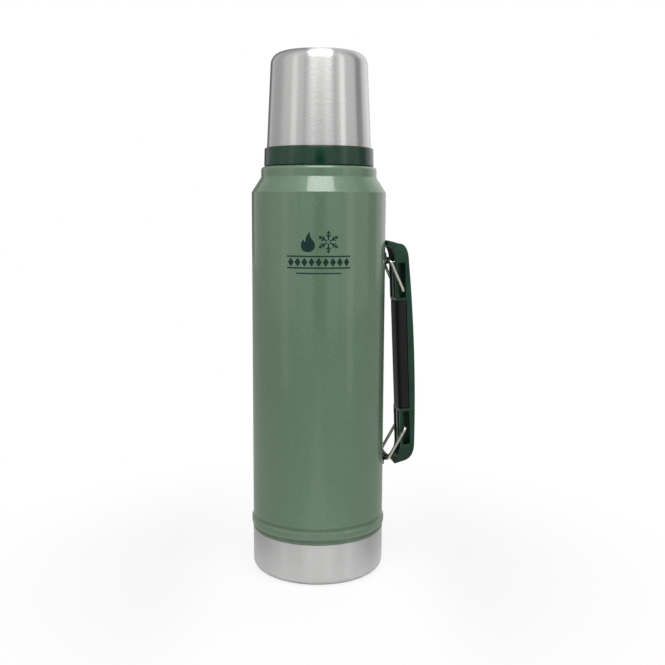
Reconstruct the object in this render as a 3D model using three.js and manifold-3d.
// Vacuum flask with a screw stopper, a drinking cup for a lid and a fold-in carrying handle.
// Units are millimetres. +Z is up along the flask's axis, z = 0 is the plane it stands on,
// and the handle is on the +X side.

import * as THREE from 'three';
import { mergeVertices } from 'three/addons/utils/BufferGeometryUtils.js';
import Module from 'manifold-3d';

const wasm = await Module();
wasm.setup();

// ---------------------------------------------------------------- driving dimensions

const GAP = 0.3;                 // left between pieces that touch
const FINE = 48;                 // segments round the outer pieces
const COARSE = 36;               // segments round the inner pieces

const BODY_RADIUS = 46.6;        // painted cylinder
const SHELL_WALL = 0.6;
const HEM_RADIUS = 46.87;        // rolled lip at the shell's lower edge
const HEM_BOTTOM = 30.2;
const HEM_TOP = 31.5;
const BEAD_RADIUS = 47.65;       // rolled bead just above the lip
const BEAD_Z = 35.9;
const BEAD_HALF = 3.5;
const SHOULDER_BOTTOM = 268;
const SHOULDER_TOP = 278.3;
const RIDGE_RADIUS = 39.95;      // rolled ridge above the shoulder cone
const RIDGE_CORNER = 282.8;
const SHELL_TOP = 285.4;
const SHELL_TOP_RADIUS = 38.2;

const BASE_BEND = 7;             // corner radius of the bare steel base
const BASE_WALL = 0.6;
const FOOT_INNER = 34.5;         // the foot is the flat ring outside this radius
const BASE_RECESS = 1.2;
const DISC_RADIUS = 26;
const PORT_RADIUS = 4;

const VESSEL_RADIUS = 39.5;      // inner bottle, outside
const VESSEL_WALL = 0.5;
const VESSEL_BOTTOM = 26;
const VESSEL_SHOULDER = 254;
const DISH_FLOOR = 24;

const NECK_RADIUS = 29.9;        // threaded neck, outside
const NECK_WALL = 0.9;
const NECK_BOTTOM = 283;
const NECK_TOP = 316;
const PITCH = 6;
const THREAD_BEAD = 1.3;         // section radius of the rolled threads

const CUP_FOOT_RADIUS = 35.94;   // steel cup where it meets its collar
const CUP_HEAD_RADIUS = 33.22;
const CUP_FOOT_Z = 298.2;
const CUP_BEND_Z = 353.8;
const CUP_TOP = 362.6;
const CUP_BEND = 8;
const CUP_WALL = 0.5;
const LINER_SPACE = 1.3;
const COLLAR_BOTTOM = 285.7;
const COLLAR_TOP = 297.9;
const COLLAR_BORE = 31.6;

const STOPPER_RADIUS = 26.9;
const STOPPER_BOTTOM = 264;
const STOPPER_HEAD_RADIUS = 24.5;
const STOPPER_TOP = 333;
const STOPPER_WALL = 3.3;
const FLANGE_RADIUS = 29.8;

const WIRE = 1.15;               // radius of the two wire bails
const BAIL_HALF_WIDTH = 11.8;    // from the middle plane to a bail's leg
const BAIL_TURN_IN = 5.4;        // length of the hooked wire ends
const AXLE_RADIUS = 48.9;        // where the brackets hold the bails, from the flask's axis
const UPPER_AXLE_Z = 221;
const LOWER_AXLE_Z = 78.4;
const UPPER_PIN = new THREE.Vector2(58.9, 199.3);
const LOWER_PIN = new THREE.Vector2(61.9, 101);

const HANDLE_OUT = 68.1;         // middle of the handle's outer face, from the axis
const HANDLE_MIDDLE_Z = 154;
const HANDLE_TILT = THREE.MathUtils.degToRad(2.6);
const HANDLE_HALF_WIDTH = 9.6;
const HANDLE_DEPTH = 12;
const HANDLE_BOW = 1.9;          // how far the ends of the outer face fall back
const HANDLE_STRAIGHT = 66;      // half length of the outer face
const GRIP_HALF_LENGTH = 38.7;
const GRIP_DEPTH = 5;

// ---------------------------------------------------------------- materials

const finish = (color, roughness, metalness) =>
  new THREE.MeshStandardMaterial({ color, roughness, metalness });

const HAMMERED_GREEN = finish(0x647c66, 0.45, 0.2);
const BRUSHED_STEEL = finish(0xb6b5b2, 0.35, 1);
const BARE_STEEL = finish(0xc4c4c2, 0.25, 1);
const WIRE_STEEL = finish(0xcbc6bd, 0.2, 1);
const DARK_GREEN_PLASTIC = finish(0x0f3a2c, 0.25, 0);
const HANDLE_PLASTIC = finish(0x2a4438, 0.35, 0);
const BLACK_RUBBER = finish(0x1f1f20, 0.6, 0);
const SILICONE = finish(0x4a4c4b, 0.7, 0);
const FOAM = finish(0xe6e2d6, 0.95, 0);

// ---------------------------------------------------------------- solid helpers

// A closed three.js geometry as a manifold solid.
function toSolid(geometry) {
  const bare = geometry.clone();
  bare.deleteAttribute('normal');
  bare.deleteAttribute('uv');
  const merged = mergeVertices(bare, 1e-4);
  const index = merged.index.array;
  const triangles = [];
  for (let i = 0; i < index.length; i += 3) {
    const [a, b, c] = [index[i], index[i + 1], index[i + 2]];
    if (a !== b && b !== c && c !== a) triangles.push(a, b, c);
  }
  return new wasm.Manifold(new wasm.Mesh({
    numProp: 3,
    vertProperties: new Float32Array(merged.attributes.position.array),
    triVerts: new Uint32Array(triangles),
  }));
}

// A named mesh from a manifold solid.
function piece(name, solid, material) {
  const { vertProperties, triVerts } = solid.getMesh();
  const geometry = new THREE.BufferGeometry();
  geometry.setAttribute('position', new THREE.BufferAttribute(vertProperties, 3));
  geometry.setIndex(new THREE.BufferAttribute(triVerts, 1));
  geometry.computeVertexNormals();
  const mesh = new THREE.Mesh(geometry, material);
  mesh.name = name;
  return mesh;
}

// Points on an arc in a profile, centre (r, z), angles in degrees from +r towards +z.
function arc(r, z, radius, from, to, count) {
  const points = [];
  for (let i = 0; i <= count; i += 1) {
    const angle = THREE.MathUtils.degToRad(from + ((to - from) * i) / count);
    points.push([r + radius * Math.cos(angle), z + radius * Math.sin(angle)]);
  }
  return points;
}

// A profile of [radius, z] points turned round Z. It runs counter-clockwise in the r-z plane,
// and closes on itself unless both its ends are on the axis.
function turned(profile, segments) {
  const points = profile.map(([r, z]) => new THREE.Vector2(r, z));
  const onAxis = profile[0][0] === 0 && profile[profile.length - 1][0] === 0;
  if (!onAxis) points.push(points[0].clone());
  return toSolid(new THREE.LatheGeometry(points, segments).rotateX(Math.PI / 2));
}

// A tube or washer with square edges.
function ring(inner, outer, bottom, top, segments) {
  return turned([[inner, bottom], [outer, bottom], [outer, top], [inner, top]], segments);
}

// A solid disc or plug.
function disc(radius, bottom, top, segments) {
  return turned([[0, bottom], [radius, bottom], [radius, top], [0, top]], segments);
}

// A block between two corners.
function block(low, high) {
  const size = high.map((value, axis) => value - low[axis]);
  const centre = high.map((value, axis) => (value + low[axis]) / 2);
  return toSolid(new THREE.BoxGeometry(...size).translate(...centre));
}

// A side outline, [x, z] points or a Shape, given a width along Y about the middle plane.
function plate(outline, halfWidth) {
  const drawn = outline instanceof THREE.Shape;
  const shape = drawn ? outline : new THREE.Shape(outline.map(([x, z]) => new THREE.Vector2(x, z)));
  const settings = { depth: 2 * halfWidth, bevelEnabled: false, curveSegments: 8 };
  const geometry = new THREE.ExtrudeGeometry(shape, settings);
  return toSolid(geometry.translate(0, 0, -halfWidth).rotateX(Math.PI / 2));
}

// A round wire swept along a curve.
function wire(curve, radius, sides, stepLength) {
  const section = new THREE.Shape();
  section.absarc(0, 0, radius, 0, 2 * Math.PI);
  const steps = Math.round(curve.getLength() / stepLength);
  const settings = { extrudePath: curve, steps, curveSegments: sides / 2 };
  return toSolid(new THREE.ExtrudeGeometry(section, settings));
}

class Helix extends THREE.Curve {
  constructor(radius, bottom, turns, lead) {
    super();
    Object.assign(this, { radius, bottom, turns, lead });
  }

  getPoint(t, target = new THREE.Vector3()) {
    const angle = 2 * Math.PI * this.turns * t;
    const height = this.bottom + this.lead * this.turns * t;
    return target.set(this.radius * Math.cos(angle), this.radius * Math.sin(angle), height);
  }
}

// A rounded screw thread, the shape that rolling gives.
function thread(radius, bottom, turns) {
  const sides = 6;
  const stepLength = 7.6;
  return wire(new Helix(radius, bottom, turns, PITCH), THREAD_BEAD, sides, stepLength);
}

// ---------------------------------------------------------------- bottle

// The painted outer jacket: lip, bead, cylinder, shoulder cone and ridge, open at both ends.
function outerShell() {
  const inner = BODY_RADIUS - SHELL_WALL;
  const ridgeRound = SHELL_TOP - RIDGE_CORNER;
  const mouth = NECK_RADIUS + GAP;
  const bead = arc(BODY_RADIUS, BEAD_Z, 1, -90, 90, 4).map(([r, z]) => [
    BODY_RADIUS + (r - BODY_RADIUS) * (BEAD_RADIUS - BODY_RADIUS),
    BEAD_Z + (z - BEAD_Z) * BEAD_HALF,
  ]);
  return turned([
    [HEM_RADIUS, HEM_BOTTOM],
    [HEM_RADIUS, HEM_TOP],
    ...bead,
    [BODY_RADIUS, SHOULDER_BOTTOM],
    [RIDGE_RADIUS, SHOULDER_TOP],
    ...arc(RIDGE_RADIUS - ridgeRound, RIDGE_CORNER, ridgeRound, 0, 90, 3),
    [SHELL_TOP_RADIUS - 2, SHELL_TOP],
    [mouth, SHELL_TOP],
    [mouth, SHELL_TOP - SHELL_WALL],
    [RIDGE_RADIUS - ridgeRound, SHELL_TOP - SHELL_WALL],
    [RIDGE_RADIUS - SHELL_WALL, RIDGE_CORNER - SHELL_WALL],
    [RIDGE_RADIUS - SHELL_WALL, SHOULDER_TOP - SHELL_WALL],
    [inner, SHOULDER_BOTTOM - SHELL_WALL],
    [inner, HEM_BOTTOM],
  ], FINE);
}

// The bare steel base, with a spigot that fits up inside the jacket and a flat foot ring.
function baseCup() {
  const top = HEM_BOTTOM - GAP;
  const spigot = BODY_RADIUS - SHELL_WALL - GAP;
  const bendCentre = BODY_RADIUS - BASE_BEND;
  const floor = BASE_RECESS + BASE_WALL;
  return turned([
    [FOOT_INNER, 0],
    ...arc(bendCentre, BASE_BEND, BASE_BEND, -90, 0, 4),
    [BODY_RADIUS, top],
    [spigot, top],
    [spigot, top + 4],
    [spigot - BASE_WALL, top + 4],
    [spigot - BASE_WALL, top - BASE_WALL],
    [BODY_RADIUS - BASE_WALL, top - BASE_WALL],
    ...arc(bendCentre, BASE_BEND, BASE_BEND - BASE_WALL, 0, -90, 3),
    [FOOT_INNER, BASE_WALL],
    [FOOT_INNER - 1, floor],
    [PORT_RADIUS, floor],
    [PORT_RADIUS, BASE_RECESS],
    [FOOT_INNER - 1.6, BASE_RECESS],
  ], FINE);
}

// The disc that hides the port through which the space between the walls is emptied of air.
const baseDisc = () => disc(DISC_RADIUS, 0, BASE_RECESS - GAP, COARSE);

const vacuumSeal = () => disc(PORT_RADIUS - GAP, BASE_RECESS, BASE_RECESS + 2, 16);

// The inner bottle, a tube with a shoulder and a neck, open at both ends.
function innerVessel() {
  const inner = VESSEL_RADIUS - VESSEL_WALL;
  const neck = NECK_RADIUS - NECK_WALL - GAP;
  const shoulderTop = VESSEL_SHOULDER + 18;
  const neckTop = NECK_BOTTOM + 5;
  return turned([
    [VESSEL_RADIUS, VESSEL_BOTTOM],
    [VESSEL_RADIUS, VESSEL_SHOULDER],
    [VESSEL_RADIUS - 2.4, VESSEL_SHOULDER + 8],
    [neck, shoulderTop],
    [neck, neckTop],
    [neck - VESSEL_WALL, neckTop],
    [neck - VESSEL_WALL, shoulderTop],
    [inner - 2.4, VESSEL_SHOULDER + 8],
    [inner, VESSEL_SHOULDER],
    [inner, VESSEL_BOTTOM],
  ], COARSE);
}

// The dished bottom that closes the inner bottle.
function innerBottom() {
  const rim = VESSEL_RADIUS - VESSEL_WALL - GAP;
  return turned([
    [0, DISH_FLOOR],
    [rim - 8, DISH_FLOOR],
    [rim, DISH_FLOOR + 5],
    [rim, DISH_FLOOR + 10],
    [rim - VESSEL_WALL, DISH_FLOOR + 10],
    [rim - VESSEL_WALL, DISH_FLOOR + 5.3],
    [rim - 8.2, DISH_FLOOR + VESSEL_WALL],
    [0, DISH_FLOOR + VESSEL_WALL],
  ], COARSE);
}

// The gas absorber under the inner bottle.
const getter = () => disc(9, DISH_FLOOR - 1.8, DISH_FLOOR - GAP, 16);

// The neck, with a thread inside for the stopper and one outside for the cup.
function threadedNeck() {
  const inner = NECK_RADIUS - NECK_WALL;
  return ring(inner, NECK_RADIUS, NECK_BOTTOM, NECK_TOP, COARSE)
    .add(thread(NECK_RADIUS - 0.1, 289.5, 1.2))
    .add(thread(inner + 0.1, 294, 2));
}

// A strap on the jacket with a half-round hump that a bail's crossbar turns in.
function bracket(axleZ) {
  const eye = WIRE + GAP;
  const metal = 1;
  const foot = BODY_RADIUS + GAP + metal;
  const halfHeight = 5.5;
  const halfWidth = 5;
  const hump = new THREE.Shape();
  hump.moveTo(foot - 3, -halfHeight);
  hump.lineTo(foot, -halfHeight);
  hump.lineTo(foot, -eye - metal);
  hump.lineTo(AXLE_RADIUS, -eye - metal);
  hump.absarc(AXLE_RADIUS, 0, eye + metal, -Math.PI / 2, Math.PI / 2, false);
  hump.lineTo(foot, eye + metal);
  hump.lineTo(foot, halfHeight);
  hump.lineTo(foot - 3, halfHeight);
  const bore = new THREE.Shape();
  bore.moveTo(foot - 4, -eye);
  bore.lineTo(AXLE_RADIUS, -eye);
  bore.absarc(AXLE_RADIUS, 0, eye, -Math.PI / 2, Math.PI / 2, false);
  bore.lineTo(foot - 4, eye);
  const open = plate(hump, halfWidth).subtract(plate(bore, halfWidth + 1));
  const back = disc(BODY_RADIUS + GAP, -halfHeight - 1, halfHeight + 1, FINE);
  const bridge = plate([[foot - 2, -eye - 0.5], [foot - metal + 0.6, -eye - 0.5],
    [foot - metal + 0.6, eye + 0.5], [foot - 2, eye + 0.5]], halfWidth);
  return open.add(bridge).subtract(back).translate([0, 0, axleZ]);
}

// ---------------------------------------------------------------- cup

// Outer radius of the steel cup at a height.
function cupRadius(z) {
  const along = (z - CUP_FOOT_Z) / (CUP_BEND_Z - CUP_FOOT_Z);
  return CUP_FOOT_RADIUS + (CUP_HEAD_RADIUS - CUP_FOOT_RADIUS) * along;
}

// A cup shell turned upside down: a tapered wall, a rounded corner and a slightly domed end.
function cupShell(foot, inset, wall) {
  const centre = cupRadius(CUP_BEND_Z) - CUP_BEND;
  const corner = (depth) => arc(centre, CUP_BEND_Z, CUP_BEND - depth, 0, 90, 4);
  const outside = corner(inset);
  const inside = corner(inset + wall).reverse();
  return turned([
    [cupRadius(foot) - inset, foot],
    ...outside,
    [0, CUP_TOP - inset],
    [0, CUP_TOP - inset - wall],
    ...inside,
    [cupRadius(foot) - inset - wall, foot],
  ], FINE);
}

// The plastic ring at the cup's rim. Its bore clears the neck's thread.
function cupCollar() {
  const spigot = cupRadius(COLLAR_TOP) - LINER_SPACE - 2 * CUP_WALL - GAP;
  return turned([
    [COLLAR_BORE, COLLAR_BOTTOM],
    [37.6, COLLAR_BOTTOM],
    [37.9, COLLAR_BOTTOM + 0.5],
    [37.53, COLLAR_TOP],
    [spigot, COLLAR_TOP],
    [spigot, COLLAR_TOP + 4],
    [COLLAR_BORE, COLLAR_TOP + 4],
  ], FINE);
}

// ---------------------------------------------------------------- stopper

// The threaded plug. Two channels down its side let the drink out when it is part unscrewed.
function stopperBody() {
  const hollow = STOPPER_RADIUS - STOPPER_WALL;
  const top = NECK_TOP + 1.8;
  const shell = turned([
    [hollow, STOPPER_BOTTOM],
    [STOPPER_RADIUS - 2, STOPPER_BOTTOM],
    [STOPPER_RADIUS - 1, STOPPER_BOTTOM + 1],
    [STOPPER_RADIUS - 1, STOPPER_BOTTOM + 2],
    [STOPPER_RADIUS - 2.2, STOPPER_BOTTOM + 2],
    [STOPPER_RADIUS - 2.2, STOPPER_BOTTOM + 5],
    [STOPPER_RADIUS, STOPPER_BOTTOM + 5],
    [STOPPER_RADIUS, top],
    [hollow, top],
  ], COARSE).add(thread(STOPPER_RADIUS + 0.2, 297, 1.5));
  const channels = [1, -1].map((side) =>
    toSolid(new THREE.CylinderGeometry(3.2, 3.2, 40, 12).rotateX(Math.PI / 2)
      .translate(0, side * 28.6, 291)));
  return channels.reduce((body, channel) => body.subtract(channel), shell);
}

// The head that is turned by hand, with scallops for the fingers and a flange over the rim.
function stopperCap() {
  const bottom = NECK_TOP + 1.8 + GAP;
  const head = turned([
    [0, bottom],
    [FLANGE_RADIUS, bottom],
    [FLANGE_RADIUS, bottom + 2.4],
    [STOPPER_HEAD_RADIUS, bottom + 3.4],
    [STOPPER_HEAD_RADIUS - 0.6, STOPPER_TOP - 1.5],
    [STOPPER_HEAD_RADIUS - 2.1, STOPPER_TOP],
    [0, STOPPER_TOP],
  ], FINE);
  let cap = head;
  const scallops = 8;
  for (let i = 0; i < scallops; i += 1) {
    const angle = ((i + 0.5) * 2 * Math.PI) / scallops;
    const reach = STOPPER_HEAD_RADIUS + 2.4;
    const cutter = new THREE.CylinderGeometry(4.4, 4.4, 20, 10).rotateX(Math.PI / 2)
      .translate(reach * Math.cos(angle), reach * Math.sin(angle), bottom + 13.6);
    cap = cap.subtract(toSolid(cutter));
  }
  return cap;
}

// The silicone ring that the flange presses on the neck's rim.
const stopperGasket = () => ring(
  STOPPER_RADIUS + GAP, NECK_RADIUS - 0.2, NECK_TOP + GAP, NECK_TOP + 1.8, COARSE);

// The ring in the groove near the plug's lower end.
const stopperSeal = () => ring(
  STOPPER_RADIUS - 1.9, STOPPER_RADIUS + 0.8, STOPPER_BOTTOM + 2.3, STOPPER_BOTTOM + 4.7, COARSE);

const stopperBase = () => disc(STOPPER_RADIUS - 2, STOPPER_BOTTOM - 1.8, STOPPER_BOTTOM - GAP, COARSE);

const stopperInsulation = () => disc(
  STOPPER_RADIUS - STOPPER_WALL - GAP, STOPPER_BOTTOM + 0.2, NECK_TOP + 1.6, 24);

// ---------------------------------------------------------------- handle

// A path through corner points with rounded bends.
function bentPath(corners, bend) {
  const path = new THREE.CurvePath();
  let from = corners[0];
  for (let i = 1; i < corners.length - 1; i += 1) {
    const corner = corners[i];
    const before = corner.clone().add(corners[i - 1].clone().sub(corner).setLength(bend));
    const after = corner.clone().add(corners[i + 1].clone().sub(corner).setLength(bend));
    path.add(new THREE.LineCurve3(from, before));
    path.add(new THREE.QuadraticBezierCurve3(before, corner, after));
    from = after;
  }
  path.add(new THREE.LineCurve3(from, corners[corners.length - 1]));
  return path;
}

// A wire bail: a crossbar in the bracket, two legs, and ends hooked into the handle.
function bail(axleZ, pin) {
  const [x, z] = [pin.x - AXLE_RADIUS, pin.y - axleZ];
  const tip = BAIL_HALF_WIDTH - BAIL_TURN_IN;
  const half = [
    new THREE.Vector3(x, tip, z),
    new THREE.Vector3(x, BAIL_HALF_WIDTH, z),
    new THREE.Vector3(0, BAIL_HALF_WIDTH, 0),
  ];
  const mirrored = half.map((p) => new THREE.Vector3(p.x, -p.y, p.z)).reverse();
  return wire(bentPath([...half, ...mirrored], 2.4), WIRE, 8, 1.6);
}

// The handle's pieces are drawn in their own frame: x outwards from the middle of the outer
// face, z along the handle. The group that holds them gives the place and the tilt.

// Side outline of the plastic frame. The upper end hooks in further than the lower one.
function handleOutline() {
  const shape = new THREE.Shape();
  const tip = -17.4;
  shape.moveTo(-HANDLE_DEPTH, -HANDLE_STRAIGHT);
  shape.quadraticCurveTo(-HANDLE_DEPTH - 0.8, -75, tip, -77);
  shape.lineTo(tip, -78.4);
  shape.quadraticCurveTo(tip, -79.4, tip + 1.2, -79.1);
  shape.lineTo(-9.1, -77.4);
  shape.quadraticCurveTo(-2.6, -75.4, -HANDLE_BOW, -HANDLE_STRAIGHT);
  shape.quadraticCurveTo(HANDLE_BOW, 0, -HANDLE_BOW, HANDLE_STRAIGHT);
  shape.quadraticCurveTo(-HANDLE_BOW, 79, -8.5, 79.5);
  shape.lineTo(tip + 1.2, 81.9);
  shape.quadraticCurveTo(tip, 82.2, tip, 81.2);
  shape.lineTo(tip, 78);
  shape.quadraticCurveTo(-HANDLE_DEPTH - 0.6, 78.4, -HANDLE_DEPTH, 68);
  return shape;
}

// The frame: hollow on the side that faces the flask, with a middle web at each end,
// slots for the bails' hooked ends, and a seat for the grip.
function handleFrame() {
  const hollow = HANDLE_HALF_WIDTH - 2.1;
  const web = 1.8;
  const seat = GRIP_HALF_LENGTH + GAP;
  const upperRoom = plate([[-25, seat + 2], [-3.9, seat + 2], [-3.9, 69],
    [-7.5, 75.2], [-25, 80.4]], hollow);
  const lowerRoom = plate([[-25, -78], [-7, -73], [-3.9, -66],
    [-3.9, -seat - 2], [-25, -seat - 2]], hollow);
  const upperSlot = block([-10.4, -20, seat + 2], [-5, 20, HANDLE_STRAIGHT]);
  const lowerSlot = block([-10.4, -20, -HANDLE_STRAIGHT + 0.5], [-5, 20, -seat - 2]);
  const middle = block([-HANDLE_DEPTH, -web, -HANDLE_STRAIGHT], [0, web, HANDLE_STRAIGHT]);
  let frame = plate(handleOutline(), HANDLE_HALF_WIDTH);
  for (const room of [upperRoom, lowerRoom, upperSlot, lowerSlot]) {
    frame = frame.subtract(room.subtract(middle));
  }
  const gripSeat = block([-25, -20, -seat], [-GRIP_DEPTH + GAP, 20, seat]);
  const tongueSeat = block([-GRIP_DEPTH, -6, -32], [-2.6, 6, 32]);
  return frame.subtract(gripSeat).subtract(tongueSeat);
}

// The soft insert that the fingers close on, with a tongue that locks it in the frame.
function handleGrip() {
  const inside = -HANDLE_DEPTH - 0.2;
  const side = HANDLE_HALF_WIDTH;
  const section = new THREE.Shape();
  section.moveTo(-GRIP_DEPTH, -side);
  section.lineTo(-GRIP_DEPTH, side);
  section.lineTo(inside + 4, side);
  section.quadraticCurveTo(inside, side, inside, side - 5);
  section.lineTo(inside, 5 - side);
  section.quadraticCurveTo(inside, -side, inside + 4, -side);
  const geometry = new THREE.ExtrudeGeometry(section, {
    depth: 2 * GRIP_HALF_LENGTH,
    bevelEnabled: false,
    curveSegments: 5,
  }).translate(0, 0, -GRIP_HALF_LENGTH);
  const tongue = block([-GRIP_DEPTH - 1, -5.7, -31.7], [-2.9, 5.7, 31.7]);
  return toSolid(geometry).add(tongue);
}

// ---------------------------------------------------------------- assembly

const flask = new THREE.Group();

const bottle = new THREE.Group();
bottle.add(
  piece('outer_shell', outerShell(), HAMMERED_GREEN),
  piece('base_cup', baseCup(), BRUSHED_STEEL),
  piece('base_disc', baseDisc(), BRUSHED_STEEL),
  piece('vacuum_seal', vacuumSeal(), BARE_STEEL),
  piece('inner_vessel', innerVessel(), BARE_STEEL),
  piece('inner_bottom', innerBottom(), BARE_STEEL),
  piece('getter', getter(), BARE_STEEL),
  piece('threaded_neck', threadedNeck(), BARE_STEEL),
  piece('upper_bracket', bracket(UPPER_AXLE_Z), HANDLE_PLASTIC),
  piece('lower_bracket', bracket(LOWER_AXLE_Z), HANDLE_PLASTIC),
);

const cup = new THREE.Group();
cup.add(
  piece('cup_outer', cupShell(CUP_FOOT_Z, 0, CUP_WALL), BRUSHED_STEEL),
  piece('cup_liner', cupShell(CUP_FOOT_Z, CUP_WALL + LINER_SPACE, CUP_WALL), BARE_STEEL),
  piece('cup_collar', cupCollar(), DARK_GREEN_PLASTIC),
);

const stopper = new THREE.Group();
stopper.add(
  piece('stopper_gasket', stopperGasket(), SILICONE),
  piece('stopper_body', stopperBody(), DARK_GREEN_PLASTIC),
  piece('stopper_cap', stopperCap(), DARK_GREEN_PLASTIC),
  piece('stopper_base', stopperBase(), DARK_GREEN_PLASTIC),
  piece('stopper_insulation', stopperInsulation(), FOAM),
  piece('stopper_seal', stopperSeal(), SILICONE),
);

const upperBail = piece('upper_bail', bail(UPPER_AXLE_Z, UPPER_PIN), WIRE_STEEL);
upperBail.position.set(AXLE_RADIUS, 0, UPPER_AXLE_Z);

const lowerBail = piece('lower_bail', bail(LOWER_AXLE_Z, LOWER_PIN), WIRE_STEEL);
lowerBail.position.set(AXLE_RADIUS, 0, LOWER_AXLE_Z);

const handle = new THREE.Group();
handle.position.set(HANDLE_OUT, 0, HANDLE_MIDDLE_Z);
handle.rotation.y = -HANDLE_TILT;
handle.add(
  piece('handle_frame', handleFrame(), HANDLE_PLASTIC),
  piece('handle_grip', handleGrip(), BLACK_RUBBER),
);

flask.add(bottle, cup, stopper, upperBail, handle, lowerBail);

export default flask;
